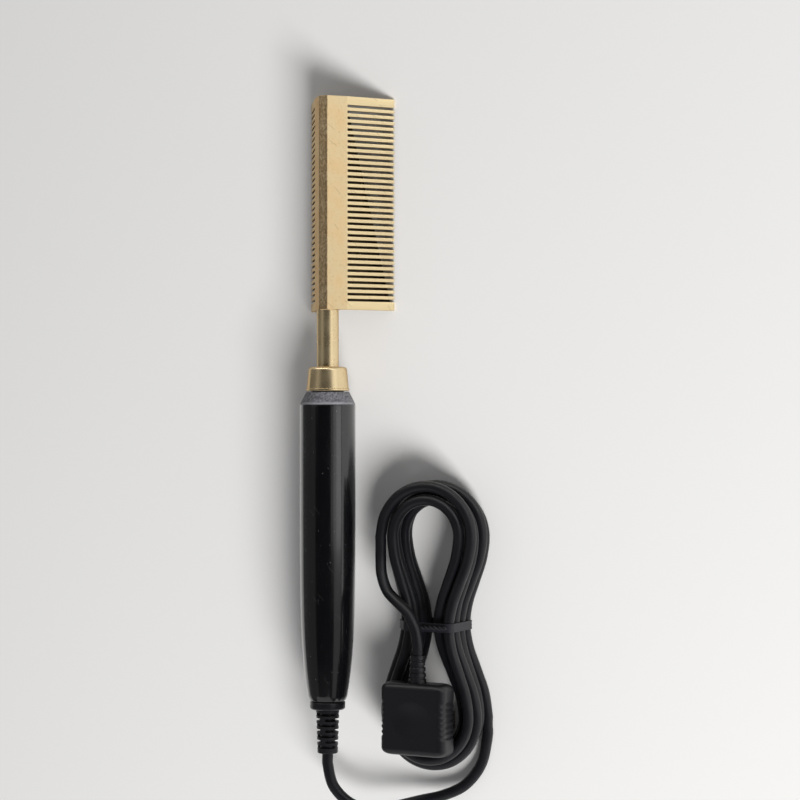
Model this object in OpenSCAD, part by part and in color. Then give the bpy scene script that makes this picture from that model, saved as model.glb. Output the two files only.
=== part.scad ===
// Electric pressing comb with two rows of teeth, standing on its tooth tips, with its mains lead
// bundled beside the handle. Millimetres, +Z up, +Y towards the comb head, floor at Z = 0.
// The origin is on the floor, below the middle of the comb without its lead.

/* [Comb head] */
// Length of the comb head
head_l = 97; // [92:0.5:120]
// Angle between the two toothed plates
vee_a = 67.5; // [60:0.5:80]
// Angle by which the plain band under the ridge leans out further than the teeth
lean_a = 7; // [3:0.5:10]
// Width of the flat ridge that joins the plates
ridge_w = 3.8; // [3.4:0.2:6]
// Height of the ridge above the axis of the neck
ridge_h = 4.6; // [4.4:0.1:5.4]
// Length of each plate from the ridge to the tooth tips
plate_l = 34.6; // [30:0.1:42]
// Thickness of each plate
plate_t = 2.2; // [1.8:0.1:2.6]
// Number of slots in each plate
slots = 34; // [20:1:34]
// Width of each slot
slot_w = 1.15; // [0.8:0.05:1.5]
// Distance from one slot to the next
slot_pitch = 2.67; // [2.4:0.01:2.7]
// Distance from the ridge to the roots of the slots
slot_root = 10.3; // [9:0.1:14]
// Radius of the rounded ridge corners
ridge_round = 1.5; // [0.3:0.1:2]
// Radius of the rounded tooth tips
tip_round = 0.35; // [0.2:0.05:0.6]
// Radius of the barrel that holds the heater
barrel_r = 6; // [5:0.1:6.5]
// Length of the spigot that enters the neck tube
spigot_l = 10; // [6:0.5:14]

/* [Heater] */
// Radius of the heater's steel sheath
heater_r = 3; // [2.8:0.05:3.1]
// Wall of the sheath
sheath_wall = 0.3; // [0.2:0.05:0.4]
// Solid metal left in front of the heater
nose_l = 5; // [3:0.5:10]
// Length of heater behind the comb head
heater_tail = 20; // [14:1:24]
// Radius of the ceramic core
core_r = 1.7; // [1.6:0.05:1.8]
// Radius of each insulated lead wire
wire_r = 0.7; // [0.5:0.05:0.75]
// Distance of each lead wire from the axis
wire_x = 1.6; // [1.5:0.05:1.7]

/* [Neck and ferrule] */
// Radius of the neck tube
neck_r = 5; // [4.9:0.05:5.4]
// Wall of the neck tube
neck_wall = 1; // [0.9:0.05:1.2]
// Length of neck tube that shows
neck_l = 26; // [22:1:40]
// Length of neck tube inside the handle
neck_tail = 22; // [20:1:30]
// Length of the ferrule
ferrule_l = 11; // [8:0.5:16]
// Radius of the ferrule at the neck
ferrule_front_r = 8.65; // [8.4:0.05:9.2]
// Radius of the ferrule at the handle
ferrule_rear_r = 9.6; // [9.3:0.05:10]
// Radius of the ferrule's rounded shoulder
ferrule_round = 1.2; // [0.6:0.1:1.4]
// Wall across the ferrule's front
ferrule_wall = 1.5; // [1:0.1:2]

/* [Handle] */
// Radius of the handle
handle_r = 12.7; // [12:0.1:15]
// Length of the handle shell
shell_l = 134.5; // [124:0.5:170]
// Length over which the shell tapers to its rear end
taper_l = 82; // [75:1:90]
// Radius of the shell's rear end before its bevel
shell_end_r = 8.6; // [8.2:0.1:10]
// Wall of the shell at its front
shell_wall = 2.5; // [2:0.1:3]
// Wall of the shell at its rear end
shell_end_wall = 1.7; // [1.5:0.1:2]
// Length of the bevel on the rear end
shell_bevel = 1.8; // [1:0.1:3]
// Length of the bevelled front collar that shows
collar_bevel = 5.7; // [4:0.1:8]
// Radius of the front collar at the ferrule
collar_front_r = 9.75; // [9.3:0.05:10.5]
// Length of the collar's spigot inside the shell
collar_spigot = 10; // [8:0.5:12]
// Seam between the ferrule and the front collar
collar_seam = 0.3; // [0.2:0.1:0.6]

/* [Swivel and strain relief] */
// Radius of the swivel stem
stem_r = 3; // [2.8:0.05:3.2]
// Radius of the swivel flange behind the handle
flange_r = 8; // [7.5:0.1:8.4]
// Length of the swivel flange
flange_l = 3.6; // [3:0.1:5]
// Gap between the handle and the swivel flange
flange_gap = 0.4; // [0.3:0.1:0.8]
// Length of the rear bearing bush
bush_l = 10; // [8:0.5:12]
// Length of the strain relief
boot_l = 20; // [19:0.5:26]
// Radius of the strain relief at the swivel flange
boot_r = 5.3; // [5:0.1:6]
// Radius of the strain relief at the lead
boot_end_r = 4.6; // [4.2:0.1:5]
// Radius of the strain relief's core inside its slots
boot_core_r = 3.4; // [3.2:0.1:3.8]
// Distance from one slot of the strain relief to the next
boot_pitch = 2.45; // [2.2:0.05:2.45]
// Width of each slot of the strain relief
boot_slot = 1.1; // [0.8:0.1:1.3]
// Number of slots in the strain relief
boot_slots = 7; // [3:1:7]
// Running clearance between the stem and its bush
running = 0.05; // [0.02:0.01:0.08]

/* [Lead and plug] */
// Diameter of the mains lead
cord_d = 5; // [4.6:0.1:5.2]
// Sideways distance from one turn of the bundle to the next
turn_step = 6.1; // [5.9:0.1:6.5]
// Height from one layer of the bundle to the next
layer_step = 5.6; // [5.6:0.1:6]
// Radius of the innermost fold of the bundle
fold_r = 15; // [15:0.5:18]
// Length of the bundle's runs
run_l = 80; // [75:1:90]
// How far the tie draws each run in
waist_draw = 10; // [6:0.5:10]
// Width of the tie
tie_w = 4; // [3:0.5:6]
// Thickness of the tie
tie_t = 0.6; // [0.4:0.1:0.7]
// Width of the plug
plug_w = 32; // [30:1:36]
// Length of the plug's body
plug_l = 32; // [28:1:36]
// Thickness of the plug's body
plug_t = 13; // [12:0.5:16]
// Radius of the plug's rounded edges
plug_round = 3; // [2:0.5:4]
// Length of each blade outside the plug
blade_l = 17; // [15:0.5:17.5]
// Distance between the two blades
blade_gap = 12.7; // [12.5:0.1:12.9]

/* [Hidden] */
$fn = 96;

// General clearances and small steps
fit = 0.05;              // between a piece and its seat in the same body
cut = 0.5;               // how far a cutting shape runs past what it cuts
tip_steps = 5;           // straight steps along a rounded tooth tip
ridge_steps = 8;         // straight steps along a rounded ridge corner
root_gap = 0.2;          // between the bend of a plate and the roots of its slots

// Stations along the axis, counted from the front of the head towards the lead
s_neck = head_l;
s_ferrule = s_neck + neck_l;
s_collar = s_ferrule + ferrule_l + collar_seam;
s_shell = s_collar + collar_bevel;
s_end = s_shell + shell_l;
s_flange = s_end + flange_gap;
s_boot = s_flange + flange_l;
s_exit = s_boot + boot_l;
s_heater = s_neck + heater_tail;
s_neck_end = s_ferrule + ferrule_l + neck_tail;
s_taper = s_end - taper_l;
front_y = s_exit / 2;
exit_y = front_y - s_exit;

// Cross-section of the head: X across, Y up, axis of the neck at the origin
tooth_a = vee_a / 2;
tooth_along = [sin(tooth_a), -cos(tooth_a)];
tooth_outward = [cos(tooth_a), sin(tooth_a)];
band_along = [sin(tooth_a + lean_a), -cos(tooth_a + lean_a)];
band_outward = [cos(tooth_a + lean_a), sin(tooth_a + lean_a)];
ridge_corner = [ridge_w / 2, ridge_h];
bend_corner = ridge_corner + (slot_root - root_gap) * band_along;
outer_tip = bend_corner + (plate_l - slot_root + root_gap) * tooth_along;
inner_tip = outer_tip - plate_t * tooth_outward;
inner_bend = bend_corner
    - plate_t * (tooth_outward + band_outward) / (1 + tooth_outward * band_outward);
inner_apex = [0, (ridge_corner * band_outward - plate_t) / band_outward[1]];
bore_r = heater_r + fit;
spigot_r = neck_r - neck_wall - fit;

function unit(v) = v / norm(v);
function flip(p) = [-p[0], p[1]];
function backwards(list) = [for (i = [len(list) - 1:-1:0]) list[i]];

// Points of an arc of radius r that rounds the corner at p between its neighbours a and b
function corner_arc(a, p, b, r, steps) =
    let (u = unit(a - p), v = unit(b - p), half = acos(u * v) / 2)
    let (centre = p + unit(u + v) * r / sin(half))
    let (from = p + u * r / tan(half) - centre, to = p + v * r / tan(half) - centre)
    [for (i = [0:steps]) centre + r * unit(from + (to - from) * i / steps)];

ridge_arc = corner_arc(flip(ridge_corner), ridge_corner, bend_corner, ridge_round, ridge_steps);
right_outline = concat(
    ridge_arc,
    [bend_corner],
    corner_arc(bend_corner, outer_tip, inner_tip, tip_round, tip_steps),
    corner_arc(outer_tip, inner_tip, inner_bend, tip_round, tip_steps),
    [inner_bend]);
head_outline = concat(right_outline, [inner_apex], backwards([for (p = right_outline) flip(p)]));
head_window = concat(ridge_arc, [bend_corner, outer_tip, flip(outer_tip), flip(bend_corner)],
    backwards([for (p = ridge_arc) flip(p)]));
axis_z = -min([for (p = head_outline) p[1]]);

// Places its children on the axis at station s, with their Z along the axis towards the lead,
// their X across and their Y up
module at(s) {
    translate([0, front_y - s, axis_z]) rotate([90, 0, 0]) children();
}

// A solid of revolution about the axis from points of [radius, station]
module turned(points) {
    at(0) rotate_extrude() polygon(points);
}

// A tube on the axis from station s1 to s2
module sleeve(s1, s2, outer, inner) {
    turned([[inner, s1], [outer, s1], [outer, s2], [inner, s2]]);
}

// A straight round rod between two points of the axis frame
module rod(a, b, r) {
    d = b - a;
    translate(a)
        rotate([0, acos(d[2] / norm(d)), atan2(d[1], d[0])])
            cylinder(h = norm(d), r = r, $fn = 32);
}

// ---- Head ----------------------------------------------------------------------------------

module comb_head() {
    slot_first = (head_l - (slots - 1) * slot_pitch) / 2;
    color("#e0c080") difference() {
        union() {
            at(0) linear_extrude(head_l) polygon(head_outline);
            intersection() {
                at(0) cylinder(h = head_l, r = barrel_r);
                at(0) linear_extrude(head_l) polygon(head_window);
            }
            at(s_neck - cut) cylinder(h = spigot_l + cut, r = spigot_r);
        }
        at(nose_l) cylinder(h = head_l + spigot_l, r = bore_r);
        for (i = [0:slots - 1], side = [0, 1])
            at(slot_first + i * slot_pitch)
                mirror([side, 0, 0])
                    translate(outer_tip)
                        rotate(tooth_a)
                            translate([-plate_t - cut, -cut, -slot_w / 2])
                                cube([plate_t + 2 * cut, plate_l - slot_root + cut, slot_w]);
    }
}

module neck_tube() {
    groove_s = s_collar + collar_bevel + collar_spigot + clip_gap;
    color("#e0c080") difference() {
        sleeve(s_neck, s_neck_end, neck_r, neck_r - neck_wall);
        sleeve(groove_s - fit, groove_s + clip_t + fit, neck_r + cut, neck_r - clip_groove);
    }
}

// ---- Heater and its leads ------------------------------------------------------------------

nose_gap = 0.2;          // between the bottom of the barrel's bore and the sheath
sheath_end_t = 0.5;      // closed front end of the sheath
core_gap = 0.3;          // between the closed end and the core
seal_in = 1;             // how far the seal sits inside the sheath's open end
seal_l = 2.5;
s_core = nose_l + nose_gap + sheath_end_t + core_gap;
s_seal = s_heater - seal_in;
clip_t = 1;
clip_gap = 0.2;
clip_groove = 0.35;
clip_rim = 0.8;          // how far the neck clip stands out past its bush

module heater_sheath() {
    front = nose_l + nose_gap;
    end_t = sheath_end_t;
    inner = heater_r - sheath_wall;
    color("#b9b9b6")
        turned([[0, front], [heater_r, front], [heater_r, s_heater],
                [inner, s_heater], [inner, front + end_t], [0, front + end_t]]);
}

module heater_core() {
    hole_r = 0.5;
    hole_x = core_r / 2;
    color("#eee9dc") difference() {
        at(s_core) cylinder(h = s_seal - s_core, r = core_r);
        for (side = [-1, 1])
            at(s_core - cut) translate([side * hole_x, 0, 0])
                cylinder(h = s_seal - s_core + 2 * cut, r = hole_r, $fn = 24);
    }
}

wire_sleeve_t = 0.45;
unheated_front = 4;      // core left bare of wire at its front
unheated_rear = 8;       // and at its rear

module heating_wire() {
    inner = core_r + fit;
    color("#8f8f8b") sleeve(s_core + unheated_front, s_seal - unheated_rear, inner, inner + wire_sleeve_t);
}

module mica_wrap() {
    inner = core_r + wire_sleeve_t + 2 * fit;
    color("#cbb58a") sleeve(s_core, s_seal, inner, heater_r - sheath_wall - fit);
}

module heater_seal() {
    color("#f2efe6") difference() {
        at(s_seal + fit) cylinder(h = seal_l, r = heater_r - sheath_wall - fit);
        for (side = [-1, 1])
            at(s_seal) translate([side * wire_x, 0, 0])
                cylinder(h = seal_l + 2 * cut, r = wire_r + fit, $fn = 32);
    }
}

// Stations of the joints in the wiring inside the handle
sleeve_gap = 1;          // between the heater's seal and the braided sleeve
sleeve_out = 2;          // how far the braided sleeve reaches past the neck tube
sleeve_room = 0.3;       // round the braided sleeve, inside and outside
joint_gap = 3;           // bare wire on each side of the fuse
crimp_l = 7;
crimp_wall = 0.6;
fuse_l = 11;
fuse_r = 2;
wire_in = 3;             // how far a wire enters its crimp
s_crimp_a = s_neck_end + 2 * sleeve_out;
s_fuse = s_crimp_a + crimp_l + joint_gap;
s_crimp_b = s_fuse + fuse_l + joint_gap;
crimp_r = wire_r + crimp_wall;

module lead_wires() {
    color("#f4f4f0") {
        at(s_seal + fit) translate([wire_x, 0, 0])
            cylinder(h = s_crimp_a + wire_in - s_seal, r = wire_r, $fn = 32);
        at(s_seal + fit) translate([-wire_x, 0, 0])
            cylinder(h = s_crimp_b + wire_in - s_seal, r = wire_r, $fn = 32);
    }
}

module lead_sleeve() {
    inner = wire_x + wire_r + sleeve_room;
    outer = neck_r - neck_wall - sleeve_room;
    color("#d9d4c4") sleeve(s_seal + seal_l + sleeve_gap, s_neck_end + sleeve_out, outer, inner);
}

module thermal_fuse() {
    fuse_wire_r = 0.5;
    color("#c9c9cc") at(0) translate([wire_x, 0, 0]) {
        translate([0, 0, s_fuse]) cylinder(h = fuse_l, r = fuse_r, $fn = 48);
        translate([0, 0, s_crimp_a + wire_in + 1])
            cylinder(h = s_crimp_b + wire_in - s_crimp_a - wire_in, r = fuse_wire_r, $fn = 24);
    }
}

module crimp(s, side) {
    at(s) translate([side * wire_x, 0, 0]) difference() {
        cylinder(h = crimp_l, r = crimp_r, $fn = 32);
        translate([0, 0, -cut]) cylinder(h = crimp_l + 2 * cut, r = wire_r + fit, $fn = 32);
    }
}

module crimp_joints() {
    color("#c8b27a") {
        crimp(s_crimp_a, 1);
        crimp(s_crimp_b, 1);
        crimp(s_crimp_b, -1);
    }
}

// ---- Neck fittings and handle --------------------------------------------------------------

cup_wall = 1.05;         // wall of the ferrule round the collar's front
cup_gap = 0.2;           // between the collar's front and the ferrule
bush_wall = 1.4;
collar_step = 0.15;      // how far the collar lies below the handle's face
cup_r = ferrule_front_r - cup_wall;
cup_spigot_r = cup_r - 2 * fit;
bush_hole_r = neck_r + fit;
bush_outer_r = bush_hole_r + bush_wall;

module ferrule() {
    bead = 0.25;
    bead_l = 0.9;
    bead_edge = 0.2;
    s1 = s_ferrule;
    s2 = s_ferrule + ferrule_l;
    shoulder = [for (a = [0:15:90])
        [ferrule_front_r - ferrule_round * (1 - sin(a)), s1 + ferrule_round * (1 - cos(a))]];
    color("#d9b56c") turned(concat(
        [[bush_hole_r, s1]], shoulder,
        [[ferrule_rear_r, s2 - bead_l - bead_edge], [ferrule_rear_r + bead, s2 - bead_l],
         [ferrule_rear_r + bead, s2 - bead_edge], [ferrule_rear_r, s2],
         [cup_r, s2], [cup_r, s1 + ferrule_wall], [bush_hole_r, s1 + ferrule_wall]]));
}

module front_collar() {
    inner = bush_outer_r + fit;
    front = s_ferrule + ferrule_wall + cup_gap;
    rear_r = handle_r - collar_step;
    color("#2a2a2c") turned([
        [inner, front], [cup_spigot_r, front], [cup_spigot_r, s_collar],
        [collar_front_r, s_collar], [rear_r, s_shell - 2 * fit], [rear_r, s_shell],
        [shell_bore_r - fit, s_shell], [shell_bore_r - fit, s_shell + collar_spigot],
        [inner, s_shell + collar_spigot]]);
}

module insulating_bush() {
    color("#efe9d8")
        sleeve(s_ferrule + ferrule_wall + 2 * fit, s_shell + collar_spigot,
               bush_outer_r, bush_hole_r);
}

module neck_clip() {
    s1 = s_shell + collar_spigot + clip_gap;
    color("#a9a9a4") sleeve(s1, s1 + clip_t, bush_outer_r + clip_rim, neck_r - clip_groove + fit);
}

shell_bore_r = handle_r - shell_wall;
rear_bore_r = shell_end_r - shell_end_wall;
taper_linear = 0.085;
taper_steps = 16;
bore_step = 0.55;
bore_cone_l = 12;

// Radius of the shell at the share t of its taper: a slight draft, then a quick round-off
function shell_r(t) =
    handle_r - (handle_r - shell_end_r) * (taper_linear * t + (1 - taper_linear) * pow(t, 4));

module handle_shell() {
    edge = 0.2;
    rear_edge = 0.35;
    taper_end = 1 - shell_bevel / taper_l;
    s_step = s_taper + bore_step * taper_l;
    outside = [for (i = [0:taper_steps])
        [shell_r(taper_end * i / taper_steps), s_taper + taper_l * taper_end * i / taper_steps]];
    color("#101012") turned(concat(
        [[shell_bore_r, s_shell], [handle_r - edge, s_shell], [handle_r, s_shell + edge]],
        outside,
        [[shell_end_r - rear_edge, s_end], [rear_bore_r, s_end],
         [rear_bore_r, s_step + bore_cone_l], [shell_bore_r, s_step]]));
}

// ---- Swivel, contacts and strain relief ----------------------------------------------------

stem_l = 26;             // stem inside the handle
stem_nose = 2;           // bare stem in front of its first ring
stem_tail = 6;           // stem inside the strain relief
stem_neck = 0.2;         // how much thinner the stem is there
stem_groove = 0.8;
clip_reach = 1.8;        // how far the stem's clip stands out from it
bush_in = 0.3;           // how far the bush sits inside the shell's end
ring_t = 0.55;
ring_l = 3.5;
ring_gap = 2;
leaf_gap = 0.3;
leaf_t = 0.4;
leaf_w = 3;
leaf_tail = 6;           // leaf in front of its block
pad_h = 0.15;            // contact pad on a leaf
block_l = 11;
block_gap = 0.8;         // between the block and the stem's clip
block_room = 1;          // between the block and the rings
core_wire_r = 0.7;
core_wire_x = 1.3;
s_stem = s_end - stem_l;
s_ring = s_stem + stem_nose;
s_bush = s_end - bush_in - bush_l;
s_clip = s_bush - clip_gap - clip_t;
s_block = s_clip - block_gap - block_l;
leaf_x = stem_r + ring_t + leaf_gap + pad_h;
core_tip_r = stem_r - stem_neck;

module contact_block() {
    color("#d8cfae") difference() {
        sleeve(s_block, s_block + block_l, rear_bore_r - fit, stem_r + ring_t + block_room);
        for (side = [-1, 1])
            at(s_block - cut)
                translate([side > 0 ? 0 : -leaf_x - leaf_t, -leaf_w / 2, 0])
                    cube([leaf_x + leaf_t, leaf_w, block_l + 2 * cut]);
    }
}

// One spring leaf: a strip along the block with a contact pad over its own ring
module leaf(side, s_pad) {
    pad_l = 1.6;
    color("#c9a14a") mirror([side > 0 ? 0 : 1, 0, 0]) {
        at(s_block - leaf_tail) translate([leaf_x, -leaf_w / 2, 0])
            cube([leaf_t, leaf_w, block_l + leaf_tail]);
        at(s_pad - pad_l / 2) translate([leaf_x - pad_h, -leaf_w / 4, 0])
            cube([pad_h + leaf_t / 2, leaf_w / 2, pad_l]);
    }
}

module contact_leaves() {
    leaf(1, s_ring + ring_l / 2);
    leaf(-1, s_ring + 1.5 * ring_l + ring_gap);
}

module contact_rings() {
    color("#d4a843") for (i = [0, 1]) {
        s1 = s_ring + i * (ring_l + ring_gap);
        sleeve(s1, s1 + ring_l, stem_r + ring_t, stem_r + fit / 2);
    }
}

module tail_wires() {
    tail_straight = 2;
    for (side = [-1, 1])
        color(side > 0 ? "#1c1c1c" : "#e9e9e9") at(0) {
            start = [side * wire_x, 0, s_crimp_b + wire_in + 1];
            bend = [side * wire_x, 0, s_crimp_b + crimp_l + tail_straight];
            finish = [side * (leaf_x - wire_r - 2 * fit), 0, s_block - leaf_tail + tail_straight];
            straight = [finish[0], 0, s_block - leaf_tail - tail_straight];
            rod(start, bend, wire_r);
            translate(bend) sphere(r = wire_r + fit, $fn = 32);
            rod(bend, straight, wire_r);
            translate(straight) sphere(r = wire_r + fit, $fn = 32);
            rod(straight, finish, wire_r);
        }
}

module end_bush() {
    color("#3a3a3c") sleeve(s_bush, s_end - bush_in, rear_bore_r - fit, stem_r + running);
}

module swivel_stem() {
    front_edge = 0.4;
    rear_edge = 0.6;
    color("#17171a") difference() {
        turned([[0, s_stem], [stem_r, s_stem],
                [stem_r, s_clip - fit], [stem_r - stem_groove, s_clip - fit],
                [stem_r - stem_groove, s_clip + clip_t + fit], [stem_r, s_clip + clip_t + fit],
                [stem_r, s_flange], [flange_r - front_edge, s_flange],
                [flange_r, s_flange + front_edge], [flange_r, s_boot - rear_edge],
                [flange_r - rear_edge, s_boot], [core_tip_r, s_boot],
                [core_tip_r, s_boot + stem_tail], [0, s_boot + stem_tail]]);
        for (side = [-1, 1])
            at(s_ring + ring_l / 2)
                translate([side * core_wire_x, 0, 0])
                    cylinder(h = s_boot + stem_tail - s_ring, r = core_wire_r + fit, $fn = 32);
    }
}

module swivel_clip() {
    color("#a9a9a4")
        sleeve(s_clip, s_clip + clip_t, stem_r + clip_reach, stem_r - stem_groove + fit);
}

module cord_cores() {
    start = s_ring + ring_l / 2 + 2 * cut;
    color("#b5652b") for (side = [-1, 1])
        at(start) translate([side * core_wire_x, 0, 0])
            cylinder(h = s_boot + stem_tail - start, r = core_wire_r, $fn = 32);
}

// Rubber sleeve with slots that are cut from the sides and from above and below by turns
module strain_relief() {
    first = 2.2;
    bridge = 3.2;
    groove_r = 0.5;
    end_round = 0.5;
    socket_r = core_tip_r + fit;
    color("#1b1b1e") difference() {
        turned([[0, s_boot + stem_tail], [socket_r, s_boot + stem_tail],
                [socket_r, s_boot + fit], [boot_core_r + groove_r, s_boot + fit],
                [boot_core_r + groove_r, s_boot + groove_r], [boot_r, s_boot + groove_r],
                [boot_end_r, s_exit - end_round], [boot_end_r - end_round, s_exit], [0, s_exit]]);
        for (i = [0:boot_slots - 1])
            difference() {
                sleeve(s_boot + first + i * boot_pitch - boot_slot / 2,
                       s_boot + first + i * boot_pitch + boot_slot / 2,
                       boot_r + cut, boot_core_r);
                at(s_boot) rotate(i % 2 == 0 ? 90 : 0)
                    translate([-bridge / 2, -boot_r - 2 * cut, 0])
                        cube([bridge, 2 * boot_r + 4 * cut, boot_l]);
            }
    }
}

// ---- Mains lead ----------------------------------------------------------------------------

cord_r = cord_d / 2;
lead_sides = 8;
loop_sides = 6;
loop_rings = 24;
loop_turns = 5.5;
half_layer = 1.5;
first_turn = 0.375;
flat_under = 30;         // turn of the loops' section that lays a flat side on the floor
bundle_x = 48;
bundle_y = -130;
tie_gap = 0.3;           // between the tie and the outermost runs
tie_lift = tie_t + 0.2;

// Radius of the bundle's spiral after t turns: it winds in and out again at one rate
function spiral_r(t) = fold_r + turn_step * abs((t + first_turn) % (2 * half_layer) - half_layer);
function smooth(x) = let (c = min(1, max(0, x))) c * c * (3 - 2 * c);

// Height of the bundle's centre line: one layer up along the run where the spiral turns back
function climb(t) = layer_step * (smooth((t - 1) * 4) + smooth((t - 2.5) * 4) + smooth((t - 4) * 4));

// How far the share v of a run is drawn in, from 0 at its ends to 1 at the tie
function waist(v) = (1 - cos(360 * v)) / 2;

// Centre line of the bundle after t turns: run, fold, run, fold, a quarter turn each
function bundle_point(t) =
    let (u = t % 1, r = spiral_r(t), v = (u * 4) % 1, z = cord_r + climb(t))
    u < 0.25 ? [bundle_x + r - waist_draw * waist(v), bundle_y + run_l * v, z + tie_lift * waist(v)] :
    u < 0.5 ? [bundle_x + r * cos(180 * v), bundle_y + run_l + r * sin(180 * v), z] :
    u < 0.75 ? [bundle_x - r + waist_draw * waist(v), bundle_y + run_l * (1 - v),
                z + tie_lift * waist(v)] :
    [bundle_x - r * cos(180 * v), bundle_y - r * sin(180 * v), z];

bundle_line = [for (i = [0:loop_turns * loop_rings]) bundle_point(i / loop_rings)];
bundle_start = bundle_line[0] - [0, cord_d, 0];
bundle_finish = bundle_line[len(bundle_line) - 1] - [0, cord_d, 0];
top_z = cord_r + 3 * layer_step;

// Plug lying on the bundle's lower end, blades down between the runs
plug_gap = 0.3;          // between the bundle and the plug that lies on it
plug_z = top_z + cord_r + plug_gap;
plug_y = -146;
plug_sleeve = 12;
sleeve_wall = 0.7;       // of the plug's sleeve at its free end
plug_entry = [bundle_x, plug_y + plug_l + plug_sleeve, plug_z + plug_t / 2];

// Route of the lead from the strain relief down to the floor and round to the bundle
lead_route = concat(
    [[0, exit_y, axis_z], [0, exit_y - cord_d, axis_z]],
    [[2.5, -164, 23.8], [9.5, -171.5, 21.4], [19, -174.5, 18.5], [30, -172.5, 15.2],
     [41, -169.5, 11.4], [50.5, -167, 8], [60, -162, 5], [67, -152.5, 3]],
    [bundle_start - [0, cord_d, 0], bundle_start]);

// Route of the lead from the bundle over the tie to the plug
tail_route = concat(
    [bundle_finish],
    [bundle_finish - [0, cord_d, 0], [26, -67.5, 21], [30, -74.5, 23.2], [36.3, -79, 25.6],
     [42.5, -83.5, 27.5], [46.5, -90, 28.5]],
    [plug_entry + [0, cord_d, 0], plug_entry]);

// Ring of points round p on the plane square to the direction d
function ring(p, d, sides, turn) =
    let (side = unit(cross(d, [0, 0, 1])), up = cross(side, unit(d)))
    [for (i = [0:sides - 1])
        p + cord_r * (cos(turn + 360 * i / sides) * side + sin(turn + 360 * i / sides) * up)];

function heading(line, i) = line[min(i + 1, len(line) - 1)] - line[max(i - 1, 0)];

// Closed tube along a line of points: its ends are square to the first and last step
module tube(line, sides, turn) {
    last = len(line) - 1;
    points = [for (i = [0:last]) each ring(line[i], heading(line, i), sides, turn)];
    walls = [for (i = [0:last - 1], k = [0:sides - 1])
        let (a = i * sides + k, b = i * sides + (k + 1) % sides)
        each [[a, b, a + sides], [b, b + sides, a + sides]]];
    ends = [for (k = [1:sides - 2])
        each [[0, k + 1, k], [last * sides, last * sides + k, last * sides + k + 1]]];
    polyhedron(points, concat(walls, ends));
}

module cord_lead() {
    color("#141416") tube(lead_route, lead_sides, 0);
}

module cord_hank() {
    color("#141416")
        tube(concat([bundle_start], bundle_line, [bundle_finish]), loop_sides, flat_under);
}

module cord_tail() {
    color("#141416") tube(tail_route, lead_sides, 0);
}

// Distance from the point p to the step from a to b
function reach(p, a, b) =
    let (d = b - a, k = min(1, max(0, (p - a) * d / (d * d)))) norm(p - a - k * d);
// Least distance between the surface of a tube's parts that lie at least so many steps apart
function least_gap(line, apart) = min([for (i = [0:len(line) - 1])
    for (k = [i + apart:1:len(line) - 2]) reach(line[i], line[k], line[k + 1])]) - cord_d;
function line_length(line, i = 1, sum = 0) =
    i == len(line) ? sum : line_length(line, i + 1, sum + norm(line[i] - line[i - 1]));

tie_low = [bundle_x - (fold_r + half_layer * turn_step - waist_draw) - cord_r - tie_gap, 0];
tie_high = [bundle_x + (fold_r + turn_step - waist_draw) + cord_r + tie_gap,
            top_z + cord_r + tie_lift + 2 * fit + tie_t];

// Flat wire tie round the bundle's waist, with its twisted ends lying along its top
module hank_tie() {
    size = tie_high - tie_low;
    twist_l = 12;
    twist_r = 1.1;
    twist_sink = 0.2;
    color("#26262a") {
        translate([0, bundle_y + run_l / 2 + tie_w / 2, 0]) rotate([90, 0, 0])
            linear_extrude(tie_w) difference() {
                translate(tie_low - [tie_t, 0]) square(size + [2 * tie_t, 0]);
                translate(tie_low + [0, tie_t]) square(size - 2 * [0, tie_t]);
            }
        translate([tie_high[0], bundle_y + run_l / 2, tie_high[1] + twist_r - twist_sink])
            rotate([0, -90, 0]) cylinder(h = twist_l, r = twist_r, $fn = 24);
    }
}

// ---- Plug ----------------------------------------------------------------------------------

blade_t = 1.5;
blade_root = 6;
blade_y = -133;
blade_widths = [6.35, 7.9];

module blade_block(i) {
    w = blade_widths[i];
    translate([bundle_x + (i - 0.5) * blade_gap - blade_t / 2, blade_y - w / 2, plug_z - blade_l])
        cube([blade_t, w, blade_l + blade_root]);
}

module plug_blades() {
    hole_r = 1.6;
    hole_up = 5.3;
    color("#c7c3b4") for (i = [0, 1])
        difference() {
            blade_block(i);
            translate([bundle_x + (i - 0.5) * blade_gap, blade_y, plug_z - blade_l + hole_up])
                rotate([0, 90, 0]) cylinder(h = 2 * blade_t, r = hole_r, center = true, $fn = 32);
        }
}

module plug_body() {
    sleeve_r = 4.2;
    inset = [plug_w / 2 - plug_round, plug_l / 2 - plug_round, plug_t / 2 - plug_round];
    middle = [bundle_x, plug_y + plug_l / 2, plug_z + plug_t / 2];
    color("#161618") difference() {
        union() {
            translate(middle) hull()
                for (x = [-1, 1], y = [-1, 1], z = [-1, 1])
                    translate([x * inset[0], y * inset[1], z * inset[2]])
                        sphere(r = plug_round, $fn = 24);
            translate(plug_entry) rotate([90, 0, 0])
                cylinder(h = plug_sleeve + plug_round, r1 = cord_r + sleeve_wall, r2 = sleeve_r);
        }
        for (i = [0, 1]) blade_block(i);
    }
}

comb_head();
neck_tube();
ferrule();
front_collar();
handle_shell();
insulating_bush();
neck_clip();
heater_sheath();
heater_core();
heating_wire();
mica_wrap();
heater_seal();
lead_wires();
lead_sleeve();
thermal_fuse();
crimp_joints();
tail_wires();
contact_block();
contact_leaves();
contact_rings();
swivel_stem();
swivel_clip();
end_bush();
strain_relief();
cord_cores();
cord_lead();
cord_hank();
cord_tail();
hank_tie();
plug_body();
plug_blades();

union() {  // cord_hank
    echo(least_gap_of_bundle = least_gap(bundle_line, 12));
    echo(length_of_lead = line_length(lead_route) + line_length(tail_route)
        + line_length(bundle_line) + 2 * cord_d);
}
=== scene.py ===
import math
import bmesh
import bpy
import numpy as np
from mathutils import Matrix


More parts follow.
